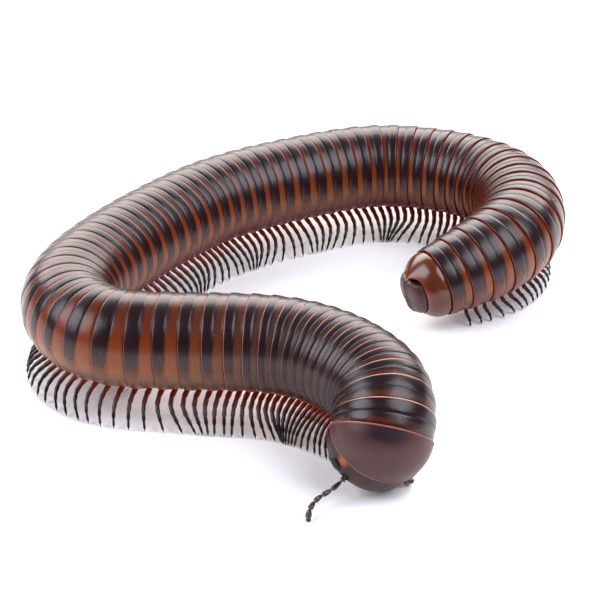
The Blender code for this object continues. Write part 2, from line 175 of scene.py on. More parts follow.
def makeStudio():
    scene = bpy.context.scene
    scene.view_settings.view_transform = "Standard"
    camera = bpy.data.cameras.new("camera")
    camera.lens = studio["lens"]
    camera.sensor_width = studio["sensor"]
    camera.clip_start, camera.clip_end = studio["cameraReach"]
    holder = bpy.data.objects.new("camera", camera)
    scene.collection.objects.link(holder)
    holder.location = Vector(studio["cameraPlace"]) * mm
    holder.rotation_euler = (math.radians(studio["cameraPitch"]), 0.0, 0.0)
    scene.camera = holder
    # Seamless white paper, matt and faintly lit from below as on a light table
    paper, tree, shader = startMaterial("seamlessPaper", studio["paper"])
    shader.inputs["Base Color"].default_value = hexColour(studio["paper"]["colour"])
    shader.inputs["Emission Color"].default_value = hexColour(studio["paper"]["colour"])
    shader.inputs["Emission Strength"].default_value = studio["paperGlow"]
    bm = bmesh.new()
    bmesh.ops.create_grid(bm, x_segments=1, y_segments=1, size=studio["floorSize"] * mm / 2.0)
    floor = addObject("floor", bm, paper)
    world = bpy.data.worlds.new("studioAir")
    scene.world = world
    world.use_nodes = True
    air = world.node_tree.nodes["Background"]
    air.inputs["Color"].default_value = hexColour(studio["worldColour"])
    air.inputs["Strength"].default_value = studio["worldStrength"]
    for name, direction, distance, size, power, colour in studio["softboxes"]:
        light = bpy.data.lights.new(name, "AREA")
        light.shape = "RECTANGLE"
        light.size = size[0] * mm
        light.size_y = size[1] * mm
        light.energy = power
        light.color = hexColour(colour)[:3]
        lamp = bpy.data.objects.new(name, light)
        scene.collection.objects.link(lamp)
        lamp.location = Vector(direction).normalized() * distance * mm
        lamp.rotation_euler = (-lamp.location).to_track_quat("-Z", "Y").to_euler()
    print("studio ready")


# The line that the body follows, and shapes bent along it

spinePoints = (
    (9.7, -41.1, 6.25), (10.2, -39.75, 8.0), (10.45, -38.15, 9.4), (10.35, -36.05, 10.35),
    (9.8, -33.95, 10.9), (8.75, -31.95, 11.2), (7.3, -30.05, 11.4), (2.8, -25.8, 11.6),
    (-3.6, -22.7, 11.6), (-11.9, -21.4, 11.4), (-20.3, -20.3, 11.0), (-27.3, -18.8, 10.9),
    (-31.7, -15.2, 10.9), (-34.2, -9.5, 10.9), (-33.9, -4.0, 10.9), (-31.4, 2.8, 10.9),
    (-27.2, 10.2, 10.9), (-21.2, 18.6, 10.9), (-15.6, 25.0, 10.9), (-8.9, 30.2, 10.9),
    (-1.1, 34.6, 10.9), (6.3, 38.0, 10.9), (13.2, 39.5, 10.9), (20.5, 38.4, 10.9),
    (27.8, 35.0, 10.9), (33.0, 29.0, 10.9), (34.3, 21.6, 10.8), (32.7, 14.8, 10.4),
    (28.9, 10.3, 9.4), (23.9, 7.1, 8.1), (13.7, 1.9, 5.6),
)
spineLead = 2.2

trunkShape = {
    "radius": 7.0,
    "ringCount": 68,
    "ringsPerLength": 5,
    "end": 188.9,
    "taperStart": 172.0,
    "taper": 1.5,
    "bellyFlatness": 0.07,
    "bellyNarrowness": 6,
    "around": 144,
    # visible length of a ring at places along the body
    "ringLengths": (
        (0.0, 2.1), (6.0, 1.7), (14.0, 1.9), (22.0, 2.45), (34.0, 2.9), (41.0, 3.9),
        (46.0, 3.4), (52.0, 2.7), (62.0, 2.6), (74.0, 3.0), (86.0, 3.0), (100.0, 2.8),
        (127.0, 3.2), (142.0, 2.8), (160.0, 2.7), (176.0, 3.2), (190.0, 3.3),
    ),
    # section of a ring: share of its length, an added distance, and depth below the full radius
    "section": (
        (0.0, -0.1, 0.36),
        (0.0, 0.03, 0.27),
        (0.0, 0.14, 0.21),
        (0.15, 0.0, 0.18),
        (0.30, 0.0, 0.155),
        (0.41, 0.0, 0.14),
        (0.455, 0.0, 0.135),
        (0.477, 0.0, 0.17),
        (0.50, 0.0, 0.115),
        (0.60, 0.0, 0.065),
        (0.70, 0.0, 0.035),
        (0.82, 0.0, 0.015),
        (1.0, -0.22, 0.0),
        (1.0, -0.1, 0.02),
        (1.0, -0.02, 0.06),
        (1.0, 0.0, 0.12),
        (1.0, -0.03, 0.22),
        (1.0, -0.15, 0.34),
    ),
    "collar": 0.35,
    "collarDepth": 0.6,
    "innerLip": 0.6,
    "neckRoll": 34.0,
    # fine ridges: height, degrees from the back, fade in radians, and shares of a ring
    "striaHeight": 0.035,
    "striaTurns": (98.0, 158.0),
    "striaFade": 0.2,
    "striaPlate": (0.56, 0.66, 0.84, 0.94),
    "poreTurn": 96.0,
    "poreShare": 0.62,
    "poreBand": 0.05,
    "poreInset": 0.06,
    "poreDepth": 0.08,
    "firstPoreRing": 5,
}


def makeLine(points, lead=0.0, samples=lineSamples, reference=worldUp):
    # a natural cubic spline, sampled so that it can be read by the distance along it
    points = np.array(points, dtype=float)
    steps = np.linalg.norm(np.diff(points, axis=0), axis=1)
    knots = np.concatenate([[0.0], np.cumsum(steps)])
    matrix = np.eye(len(points))
    pull = np.zeros(points.shape)
    for row in range(1, len(points) - 1):
        before, after = steps[row - 1], steps[row]
        matrix[row, row - 1 : row + 2] = (before, 2.0 * (before + after), after)
        rise = (points[row + 1] - points[row]) / after - (points[row] - points[row - 1]) / before
        pull[row] = 6.0 * rise
    bends = np.linalg.solve(matrix, pull)
    values = np.linspace(0.0, knots[-1], samples)
    index = np.clip(np.searchsorted(knots, values) - 1, 0, len(points) - 2)
    step = steps[index][:, None]
    far = (values - knots[index])[:, None] / step
    near = 1.0 - far
    here, ahead = bends[index], bends[index + 1]
    place = near * points[index] + far * points[index + 1]
    place = place + ((near**3 - near) * here + (far**3 - far) * ahead) * step**2 / 6.0
    way = (points[index + 1] - points[index]) / step
    way = way + ((3.0 * far**2 - 1.0) * ahead - (3.0 * near**2 - 1.0) * here) * step / 6.0
    way = way / np.linalg.norm(way, axis=1)[:, None]
    gone = np.cumsum(np.linalg.norm(np.diff(place, axis=0), axis=1))
    distance = np.concatenate([[0.0], gone]) - lead
    return {
        "distance": distance,
        "place": place,
        "way": way,
        "length": distance[-1],
        "reference": reference,
    }


def framesAt(line, along):
    # place, way, up and right at each distance, straight on past the ends
    along = np.atleast_1d(np.array(along, dtype=float))
    inside = np.clip(along, line["distance"][0], line["distance"][-1])
    place, way = (
        np.stack([np.interp(inside, line["distance"], line[key][:, k]) for k in range(3)], axis=1)
        for key in ("place", "way")
    )
    way = way / np.linalg.norm(way, axis=1)[:, None]
    place = place + way * (along - inside)[:, None]
    up = line["reference"] - way * (way @ line["reference"])[:, None]
    up = up / np.linalg.norm(up, axis=1)[:, None]
    return place, way, up, np.cross(up, way)


def frameAt(line, along):
    return [values[0] for values in framesAt(line, along)]


def bendAlong(line, verts):
    # a straight shape along Z, X to its right and Y up, follows the line
    flat = np.array([vert.co for vert in verts])
    place, way, up, right = framesAt(line, flat[:, 2])
    bent = place + right * flat[:, 0:1] + up * flat[:, 1:2]
    for vert, point in zip(verts, bent):
        vert.co = point


def spinOutline(outline, around, markName=None):
    # (radius, along) points joined into a chain, spun round Z and closed where they meet the axis
    # a third entry is a mark of three numbers that the surface keeps as an attribute
    bm = bmesh.new()
    layer = bm.verts.layers.float_vector.new(markName) if markName else None
    verts = [bm.verts.new((0.0, point[0], point[1])) for point in outline]
    if layer:
        for vert, point in zip(verts, outline):
            vert[layer] = point[2]
    edges = [bm.edges.new(pair) for pair in zip(verts, verts[1:])]
    bmesh.ops.spin(
        bm,
        geom=verts + edges,
        cent=(0.0, 0.0, 0.0),
        axis=(0.0, 0.0, 1.0),
        angle=2.0 * math.pi,
        steps=around,
        use_merge=True,
    )
    bmesh.ops.remove_doubles(bm, verts=bm.verts, dist=mergeDistance)
    bmesh.ops.recalc_face_normals(bm, faces=bm.faces)
    return bm


def ringMargins():
    fine = np.linspace(0.0, trunkShape["end"], lineSamples)
    places, lengths = zip(*trunkShape["ringLengths"])
    rate = 1.0 / np.interp(fine, places, lengths)
    count = np.concatenate([[0.0], np.cumsum((rate[1:] + rate[:-1]) / 2.0 * np.diff(fine))])
    wanted = np.linspace(0.0, count[-1], trunkShape["ringCount"] + 1)
    return np.interp(wanted, count, fine)


def bodyRadius(along):
    start = trunkShape["taperStart"]
    past = np.maximum(0.0, along - start) / (trunkShape["end"] - start)
    return trunkShape["radius"] - trunkShape["taper"] * past * past


spine = makeLine(spinePoints, spineLead)
margins = ringMargins()


def smoothStep(value, low, high):
    share = np.clip((value - low) / (high - low), 0.0, 1.0)
    return share * share * (3.0 - 2.0 * share)


def bellCurve(distance, width, power=2):
    return math.exp(-((distance / width) ** power))


def trunkLengths():
    # number, first ring and last ring of each length of the trunk
    count, step = trunkShape["ringCount"], trunkShape["ringsPerLength"]
    for number, first in enumerate(range(0, count, step), 1):
        yield number, first, min(first + step, count) - 1


# Chitin plates, hard and polished: amber in front, plum-black behind, a thin red hind margin

cuticleLook = {
    "ior": 1.56,
    "specularLevel": 0.33,
    "roughness": 0.29,
    "roughnessSpread": 0.14,
    "wobbleSize": 2.2,
    "wobbleDetail": 3.0,
    "bandWobble": 0.12,
    "grain": {
        "size": 0.2,
        "detail": 2.0,
        "span": (0.3, 0.7),
        "shade": (0.78, 1.22),
        "strength": 0.5,
        "depth": 0.03,
    },
    "dustCell": 1.4,
    "dustEdge": (0.05, 0.03),
    "dustShare": 0.35,
    # where on a ring the dark band begins, at shares of the trunk's length
    "bandStart": (
        (0.0, 0.40), (0.16, 0.42), (0.22, 0.50), (0.37, 0.54), (0.46, 0.38), (0.8, 0.36),
        (1.0, 0.32),
    ),
    # the band begins further forward on the back than low on the flank
    "bandLean": 0.3,
    "leanMiddle": 0.55,
    # how dark the dark band stays, from belly to back
    "darkHold": ((0.0, 0.2), (0.22, 0.25), (0.36, 0.5), (0.48, 0.88), (0.6, 1.0), (1.0, 1.0)),
    # low on the flank both ramps turn tan-grey and the dark band fades (darkHold): the plates' own
    # colours with a painted reflection of the white floor over them
    "front": (
        (0.00, "7a1606"), (0.08, "962a0c"), (0.14, "5e2a16"), (0.24, "64402a"),
        (0.38, "824c1a"), (0.50, "7a3c0c"), (0.66, "702e08"), (0.86, "562008"),
        (1.00, "481a0a"),
    ),
    "rear": (
        (0.00, "5a0c04"), (0.10, "5a140a"), (0.20, "4a2018"), (0.36, "381416"),
        (0.50, "240812"), (0.70, "1c060e"), (1.00, "1c080f"),
    ),
    # masks: kind of slope, what it is read from, where it is nothing and where it is full
    "masks": {
        "band": ("SMOOTHSTEP", "pastStart", -0.07, 0.07),
        "neck": ("SMOOTHSTEP", "ring", 19.0, 11.0),
        "offPatch": ("SMOOTHSTEP", "upness", 0.99, 0.92),
        "hindBody": ("LINEAR", "ring", 22.0, 32.0),
        "low": ("SMOOTHSTEP", "height", 0.48, 0.2),
        "lowest": ("SMOOTHSTEP", "height", 0.2, 0.08),
        # painted shade: the recess under the previous ring's lip, just past each front margin
        "grooveShade": ("SMOOTHSTEP", "pastFront", 0.18, 0.04),
        "rim": ("SMOOTHSTEP", "toHind", 0.1125, 0.0525),
    },
    # masks that are two others multiplied
    "crossings": (
        ("dark", "band", "darkHold"),
        # on the telescoped neck rings the amber stays only as a patch on the middle of the back
        ("brown", "neck", "offPatch"),
        # behind the first bend the low flanks turn a darker red-brown: their own red-brown with
        # painted shade from under the body
        ("red", "hindBody", "low"),
        # low on the neck the plates end in a bright orange edge
        ("orange", "neck", "lowest"),
    ),
    # colours laid over the front ramp through the masks, in this order
    "layers": {
        "brown": "38241c",
        "dark": None,
        # painted shade on the low flanks of the hind body, laid over their own red-brown
        "red": "5a160a",
        "orange": "b8400a",
        # painted shade, darker in the recess under the previous ring's lip
        "grooveShade": "3c0e0a",
        "rim": None,
    },
    # the hind margin is thin and red; on the neck rings it is pale pink, the red margin with a
    # painted highlight on it
    "rimBody": "742c20",
    "rimNeckAndHighlight": "b88474",
    "dust": "cfc4bc",
}


def makeCuticle():
    look = cuticleLook
    material, tree, shader = startMaterial("polishedCuticle", look)
    ringMap, ringEdge = readMark(tree, "ringMap"), readMark(tree, "ringEdge")
    place = addNode(tree, "TexCoord").outputs["Object"]
    wobble = addNode(
        tree,
        "TexNoise",
        {"Scale": 1.0 / (look["wobbleSize"] * mm), "Detail": look["wobbleDetail"]},
        {"Vector": place},
    )
    trunkShare = addNode(
        tree, "Math", {"operation": "DIVIDE", 1: float(trunkShape["ringCount"])}, {0: ringMap["X"]}
    )
    height = addNode(tree, "MapRange", {"From Min": -1.0, "From Max": 1.0}, {"Value": ringMap["Y"]})
    ramps = {}
    for name in ("bandStart", "darkHold", "front", "rear"):
        source = trunkShare if name == "bandStart" else height
        ramp = addNode(tree, "ValToRGB", {"stops": look[name]}, {"Fac": source.outputs[0]})
        ramps[name] = ramp.outputs["Color"]
    shift = addNode(
        tree,
        "Math",
        {"operation": "MULTIPLY_ADD", 1: look["bandWobble"], 2: -look["bandWobble"] / 2.0},
        {0: wobble.outputs["Fac"]},
    )
    leanBy = look["bandLean"]
    lean = addNode(
        tree,
        "Math",
        {"operation": "MULTIPLY_ADD", 1: leanBy, 2: -leanBy * look["leanMiddle"]},
        {0: height.outputs[0]},
    )
    pastStart = ringEdge["X"]
    for operation, other in (
        ("ADD", shift.outputs[0]),
        ("ADD", lean.outputs[0]),
        ("SUBTRACT", ramps["bandStart"]),
    ):
        step = addNode(tree, "Math", {"operation": operation}, {0: pastStart, 1: other})
        pastStart = step.outputs[0]
    sources = {
        "pastStart": pastStart,
        "ring": ringMap["X"],
        "upness": ringMap["Y"],
        "height": height.outputs[0],
        "pastFront": ringEdge["Y"],
        "toHind": ringEdge["Z"],
    }
    shares = {"darkHold": ramps["darkHold"]}
    for name, (slope, source, nothing, full) in look["masks"].items():
        mask = addNode(
            tree,
            "MapRange",
            {"interpolation_type": slope, "From Min": nothing, "From Max": full},
            {"Value": sources[source]},
        )
        shares[name] = mask.outputs[0]
    for name, one, other in look["crossings"]:
        links = {0: shares[one], 1: shares[other]}
        shares[name] = addNode(tree, "Math", {"operation": "MULTIPLY"}, links).outputs[0]
    rimColour = addNode(
        tree,
        "Mix",
        {"data_type": "RGBA", 6: hexColour(look["rimBody"]), 7: hexColour(look["rimNeckAndHighlight"])},
        {0: shares["neck"]},
    )
    mixed = {"dark": ramps["rear"], "rim": rimColour.outputs[2]}
    colour = ramps["front"]
    for name, code in look["layers"].items():
        settings = {"data_type": "RGBA"}
        links = {0: shares[name], 6: colour}
        if code:
            settings[7] = hexColour(code)
        else:
            links[7] = mixed[name]
        colour = addNode(tree, "Mix", settings, links).outputs[2]
    mottled = addGrain(tree, shader, place, colour, look["grain"])
    dustCells = addNode(
        tree, "TexVoronoi", {"Scale": 1.0 / (look["dustCell"] * mm)}, {"Vector": place}
    )
    edge, middle = look["dustEdge"]
    dust = addNode(
        tree,
        "MapRange",
        {"From Min": edge, "From Max": middle, "To Max": look["dustShare"]},
        {"Value": dustCells.outputs["Distance"]},
    )
    dusted = addNode(
        tree,
        "Mix",
        {"data_type": "RGBA", 7: hexColour(look["dust"])},
        {0: dust.outputs[0], 6: mottled},
    )
    tree.links.new(dusted.outputs[2], shader.inputs["Base Color"])
    varyGloss(tree, shader, wobble.outputs["Fac"], look)
    return material


def ringOutline(first, last):
    # each point's mark: share of its ring, distances past the front margin and to the hind one
    radius = bodyRadius(margins[first])
    start = margins[first] - trunkShape["collar"]
    hidden = (0.0, 0.0, 1.0)
    outline = [(0.0, start, hidden), (radius - trunkShape["collarDepth"], start, hidden)]
    for ring in range(first, last + 1):
        front, hind = margins[ring], margins[ring + 1]
        for share, added, depth in trunkShape["section"]:
            along = front + share * (hind - front) + added
            onRing = min(1.0, max(0.0, (along - front) / (hind - front)))
            mark = (onRing, along - front, hind - along)
            outline.append((bodyRadius(along) - depth, along, mark))
    inner = margins[last + 1] - trunkShape["innerLip"]
    outline.append((bodyRadius(inner) - trunkShape["collarDepth"], inner, hidden))
    outline.append((0.0, inner, hidden))
    return outline


def shapeRings(bm):
    # flatter belly, fine ridges low on the flanks, and the map that the bands are painted by
    flat = np.array([vert.co for vert in bm.verts])
    turn = np.arctan2(flat[:, 0], flat[:, 1])
    along = flat[:, 2]
    ringPlace = np.interp(along, margins, np.arange(len(margins)))
    share = ringPlace - np.floor(ringPlace)
    near, far = (math.radians(value) for value in trunkShape["striaTurns"])
    fade = trunkShape["striaFade"]
    onFlank = smoothStep(abs(turn), near, near + fade) * smoothStep(-abs(turn), -far, -far + fade)
    start, risen, falling, gone = trunkShape["striaPlate"]
    onPlate = smoothStep(share, start, risen) * smoothStep(-share, -gone, -falling)
    oddRay = np.round(turn / (2.0 * math.pi / trunkShape["around"])) % 2.0
    raised = trunkShape["striaHeight"] * onFlank * onPlate * oddRay
    radius = np.hypot(flat[:, 0], flat[:, 1])
    under = np.maximum(0.0, -np.cos(turn)) ** trunkShape["bellyNarrowness"]
    grown = (radius + raised) * (1.0 - trunkShape["bellyFlatness"] * under)
    layer = bm.verts.layers.float_vector.new("ringMap")
    for vert, angle, size, place in zip(bm.verts, turn, grown, ringPlace):
        vert.co.x = size * math.sin(angle)
        vert.co.y = size * math.cos(angle)
        vert[layer] = (place, math.cos(angle), math.sin(angle))


def cutPores(bm, first, last):
    # one defence pore on each side, just behind the suture
    step = 2.0 * math.pi / trunkShape["around"]
    pores = []
    for face in bm.faces:
        middle = face.calc_center_median()
        place = float(np.interp(middle.z, margins, np.arange(len(margins))))
        if not first <= place <= last + 1 or place < trunkShape["firstPoreRing"]:
            continue
        turn = abs(math.atan2(middle.x, middle.y))
        beside = abs(turn - math.radians(trunkShape["poreTurn"])) < step / 2.0
        if beside and abs(place % 1.0 - trunkShape["poreShare"]) < trunkShape["poreBand"]:
            pores.append(face)
    if pores:
        inset, sunk = trunkShape["poreInset"], -trunkShape["poreDepth"]
        bmesh.ops.inset_individual(bm, faces=pores, thickness=inset, depth=sunk)


def makeRings(cuticle):
    for number, first, last in trunkLengths():
        bm = spinOutline(ringOutline(first, last), trunkShape["around"], "ringEdge")
        cutPores(bm, first, last)
        shapeRings(bm)
        bendAlong(spine, list(bm.verts))
        finishPiece(f"rings_{number:02d}", bm, cuticle, [f"trunk_{number:02d}"])
    print("trunk rings made:", trunkShape["ringCount"])


# Legs: two pairs on a ring, one on each of the first three

legShape = {
    "sides": 6,
    # share of the leg's length where each article ends, and its radius
    "articles": (
        (0.13, 0.46), (0.30, 0.43), (0.48, 0.38), (0.64, 0.33), (0.79, 0.28), (0.95, 0.20),
    ),
    "neckShare": 0.88,
    "articleStart": 0.12,
    "articleWidest": 0.8,
    "clawRadius": 0.1,
    "singlePairRings": 3,
    "placesOne": (0.5,),
    "placesTwo": (0.27, 0.77),
    "rootOut": 1.5,
    "rootDepth": 1.1,
    "kneeOut": 4.3,
    "kneeRise": 0.74,
    "shinOut": 6.1,
    "shinRise": 0.42,
    "footOut": 6.7,
    "trail": 1.1,
    "swing": 1.15,
    "wave": 14.0,
    "waveStart": 0.3,
    "unevenness": 0.25,
    "innerShare": 0.38,
    "bendReach": 1.5,
    # how far the legs stand out, at distances along the body
    "spread": (
        (0.0, 0.62), (8.0, 0.8), (15.0, 1.0), (155.0, 1.0), (172.0, 0.66), (184.0, 0.54),
        (192.0, 0.5),
    ),
    "slimmest": 0.78,
    "slimUntil": 20.0,
    "samples": 120,
}

legLook = {
    "ior": 1.56,
    "specularLevel": 0.3,
    "roughness": 0.28,
    "stops": (
        (0.0, "981e06"), (0.25, "801806"), (0.42, "4c1008"), (0.56, "260c0a"), (0.7, "160a0a"),
        (0.94, "120a0c"), (1.0, "2c140e"),
    ),
    "grain": {"size": 0.5, "detail": 2.0, "span": (0.3, 0.7), "shade": (0.75, 1.3), "depth": 0.0},
}


def makeLegCuticle():
    # Thin chitin tubes: blood-red where they are thin at the root, nearly black and glossy beyond
    look = legLook
    material, tree, shader = startMaterial("legChitin", look)
    along = readMark(tree, "legMap")["X"]
    ramp = addNode(tree, "ValToRGB", {"stops": look["stops"]}, {"Fac": along})
    place = addNode(tree, "TexCoord").outputs["Object"]
    mottled = addGrain(tree, shader, place, ramp.outputs["Color"], look["grain"])
    tree.links.new(mottled, shader.inputs["Base Color"])
    return material


def legTemplate():
    # a straight leg of length one: six articles, each widest near its end, and a claw
    outline = [(0.0, 0.0)]
    start = 0.0
    for end, radius in legShape["articles"]:
        length = end - start
        outline.append((radius * legShape["neckShare"], start + legShape["articleStart"] * length))
        outline.append((radius, start + legShape["articleWidest"] * length))
        start = end
    outline.append((legShape["clawRadius"], start))
    outline.append((0.0, 1.0))
    bm = spinOutline(outline, legShape["sides"])
    layer = bm.verts.layers.float_vector.new("legMap")
    for vert in bm.verts:
        vert[layer] = (vert.co.z, 0.0, 0.0)
    data = bpy.data.meshes.new("legTemplate")
    bm.to_mesh(data)
    bm.free()
    return data


def bendTowards(along, side):
    # how sharply the body bends towards a side, per millimetre
    reach = legShape["bendReach"]
    before, after = frameAt(spine, along - reach)[1], frameAt(spine, along + reach)[1]
    return max(0.0, side * float((after - before) @ frameAt(spine, along)[3]) / (2.0 * reach))


def legLine(along, side):
    place, way, up, right = frameAt(spine, along)
    level = np.array([right[0], right[1], 0.0])
    level = side * level / np.linalg.norm(level)
    rearward = np.cross(level, worldUp) * side
    belly = place - up * bodyRadius(along) * (1.0 - trunkShape["bellyFlatness"])
    reach = float(np.interp(along, *zip(*legShape["spread"])))
    bend = bendTowards(along, side)
    if bend > 0.0:
        reach = min(reach, legShape["innerShare"] / (bend * legShape["shinOut"]))
    trail = reach * legShape["trail"]
    phase = 2.0 * math.pi * along / legShape["wave"] + legShape["waveStart"] * side
    swing = legShape["swing"] * reach * math.sin(phase)
    swing += draws.uniform(-legShape["unevenness"], legShape["unevenness"])
    root = belly + up * legShape["rootDepth"] + side * right * legShape["rootOut"]
    floor = np.array([belly[0], belly[1], 0.0])
    points = [root]
    for out, rise, back in (
        (legShape["kneeOut"], legShape["kneeRise"], trail),
        (legShape["shinOut"], legShape["shinRise"], (trail + swing) / 2.0),
        (legShape["footOut"], 0.0, swing),
    ):
        points.append(floor + level * out * reach + worldUp * belly[2] * rise + rearward * back)
    return makeLine(points, samples=legShape["samples"], reference=rearward)


def makeLegs(material):
    template = legTemplate()
    count = 0
    lastLegged = trunkShape["ringCount"] - 2
    for number, first, last in trunkLengths():
        bm = bmesh.new()
        for ring in range(first, min(last, lastLegged) + 1):
            single = ring < legShape["singlePairRings"]
            for share in legShape["placesOne"] if single else legShape["placesTwo"]:
                along = margins[ring] + share * (margins[ring + 1] - margins[ring])
                slimness = (0.0, legShape["slimUntil"]), (legShape["slimmest"], 1.0)
                slim = float(np.interp(along, *slimness))
                for side in (1, -1):
                    line = legLine(along, side)
                    known = len(bm.verts)
                    bm.from_mesh(template)
                    bm.verts.ensure_lookup_table()
                    leg = bm.verts[known:]
                    bmesh.ops.scale(bm, vec=(slim, slim, line["length"]), verts=leg)
                    bendAlong(line, leg)
                    count += 1
        bmesh.ops.recalc_face_normals(bm, faces=bm.faces)
        finishPiece(f"legs_{number:02d}", bm, material, [f"trunk_{number:02d}"])
    bpy.data.meshes.remove(template)
    print("legs made:", count)


# Head end: collum, capsule, eyes, feelers and mouthparts

headShape = {
    "nod": 58.0,
    "faceTurn": -10.0,
    "around": 160,
    "gap": 0.3,
    "collumRadius": 7.0,
    "collumFront": 1.85,
    "collumSteps": 90,
    # the collum's front rim in section: distance past its edge, and along
    "collumRim": ((0.02, -0.04), (-0.06, 0.0), (-0.2, -0.02)),
    "collumSink": 0.05,
    "collumSkin": 0.12,
    # beads on both margins: height, distance in and width
    "frontBead": (0.1, 0.2, 0.13),
    "neckBead": (0.06, 0.3, 0.16),
    # grooves of the side lobes: depth, width, places, and the lobes' share of the radius
    "grooveDepth": 0.05,
    "grooveWidth": 0.12,
    "grooves": (0.75, 1.3, 1.85),
    "lobe": (0.80, 0.90),
    # red margins and the dark patch: where they fade out
    "frontMargin": (0.14, 0.32),
    "neckMargin": (0.2, 0.42),
    "neckMarginShare": 0.8,
    "patchSide": 2.2,
    "patchWidth": 3.0,
    "patchFade": (1.3, 3.4),
    "patchShare": 0.95,
    "radius": 6.55,
    "width": 0.97,
    "start": 1.85,
    "depth": 5.05,
    "bluntness": 3.0,
    "base": 0.25,
    "domeSteps": 46,
    "domeStart": 0.4,
    "suture": (0.07, 0.16),
    "sutureEnd": 4.0,
    "carved": 0.3,
    "axisRadius": 0.2,
    # antenna sockets: a pit of a depth and width, and a rim of a height, distance and width
    "socket": (0.28, 0.62),
    "socketRim": (0.06, 0.85, 0.2),
    "socketStretch": 1.6,
    "softEdge": 0.1,
    "softEdgeAngle": 50.0,
    "mouthPoint": (2.8, -0.6),
    "mouthSlope": 15.0,
    "mouthClearance": 1.0,
    "jawSide": 2.1,
    "cheek": (0.7, 60.0),
    "cheekSize": 0.7,
    "cheekShare": 0.95,
    "capsuleDark": 0.5,
    "eyeAlong": 2.3,
    "eyeTurn": 66.0,
    # eye: half its height, length and breadth, the mound under the lenses, and the lenses
    "eyeHalf": (0.4, 1.0, 0.7),
    "moundShare": (0.98, 0.7),
    "moundSegments": (24, 12),
    "lensRadius": 0.13,
    "lensPitch": 1.75,
    "rowPitch": 0.87,
    "lensRows": 4,
    "lensColumns": 5,
    "lensSegments": (8, 5),
    "eyeEdge": 0.06,
    "antennaAlong": 2.7,
    "antennaTurn": 46.0,
}

feelerShape = {
    "right": ((3.3, -44.8, 2.2), (1.7, -45.9, 1.7), (0.7, -47.2, 1.1), (0.4, -49.5, 0.6)),
    "left": ((14.1, -40.6, 0.85), (14.1, -39.2, 0.5), (13.7, -37.7, 0.5), (12.6, -35.8, 0.6)),
    "rootDepth": 0.1,
    "shares": (0.09, 0.19, 0.17, 0.16, 0.15, 0.16, 0.08),
    "clubs": (0.40, 0.36, 0.36, 0.37, 0.39, 0.43, 0.34),
    "neck": 0.17,
    # an article in section: share of its length, and its radius in parts of the neck or the club
    "article": (
        (0.02, "neck", 1.0), (0.12, "neck", 1.15), (0.30, "club", 0.78), (0.55, "club", 0.93),
        (0.78, "club", 1.0), (0.92, "club", 0.95), (0.985, "club", 0.7),
    ),
    "jointAlong": 0.08,
    "jointWidth": 0.12,
    # sense cones: distance from the axis, past the tip, both radii and length
    "cone": (0.1, 0.04, 0.06, 0.03, 0.14),
    "coneSides": 8,
    "around": 16,
    "samples": 400,
}


def headFrame():
    place, tailward, up, right = frameAt(spine, 0.0)
    roll = math.radians(trunkShape["neckRoll"])
    crown = math.cos(roll) * up - math.sin(roll) * right
    return place, -tailward, crown, math.cos(roll) * right + math.sin(roll) * up


def faceFrame():
    place, ahead, crown, right = headFrame()
    nod = math.radians(headShape["nod"])
    face = math.cos(nod) * ahead - math.sin(nod) * crown
    faceCrown = math.cos(nod) * crown + math.sin(nod) * ahead
    return place, face, faceCrown, right


def setInFrame(bm, columns, place):
    matrix = Matrix.Identity(4)
    for column, axis in enumerate((*columns, place)):
        for row in range(3):
            matrix[row][column] = axis[row]
    bmesh.ops.transform(bm, matrix=matrix, verts=bm.verts)


def sliceAway(bm, point, normal):
    cut = bmesh.ops.bisect_plane(
        bm,
        geom=bm.verts[:] + bm.edges[:] + bm.faces[:],
        dist=cutTolerance,
        plane_co=Vector(point),
        plane_no=Vector(normal),
        clear_outer=True,
    )
    rim = [item for item in cut["geom_cut"] if isinstance(item, bmesh.types.BMEdge)]
    bmesh.ops.holes_fill(bm, edges=rim, sides=0)


def headRadius(along):
    share = min(1.0, max(0.0, along) / headShape["depth"])
    bluntness = headShape["bluntness"]
    return headShape["radius"] * (1.0 - share**bluntness) ** (1.0 / bluntness)


def onHead(along, turn):
    place, face, crown, right = faceFrame()
    angle = math.radians(turn)
    slope = (headRadius(along + nudge) - headRadius(along - nudge)) / (2.0 * nudge)
    spoke = math.cos(angle) * crown + math.sin(angle) * headShape["width"] * right
    point = place + face * (headShape["start"] + along) + headRadius(along) * spoke
    outward = spoke - face * slope
    return point, outward / np.linalg.norm(outward)


headLook = {
    "ior": 1.56,
    "specularLevel": 0.33,
    "roughness": 0.42,
    "roughnessSpread": 0.14,
    "shell": "462624",
    "shellDark": "220c18",
    "rim": "a86454",
    "cheek": "a8500a",
    # the dark patch: share of the cloudy noise in it, and the span over which it sets in
    "cloudSize": 3.0,
    "cloudDetail": 3.0,
    "cloudShare": 0.5,
    "darkSpan": (0.35, 1.05),
    "grain": {
        "size": 0.2,
        "detail": 2.0,
        "span": (0.3, 0.7),
        "shade": (0.85, 1.15),
        "strength": 0.45,
        "depth": 0.012,
    },
}


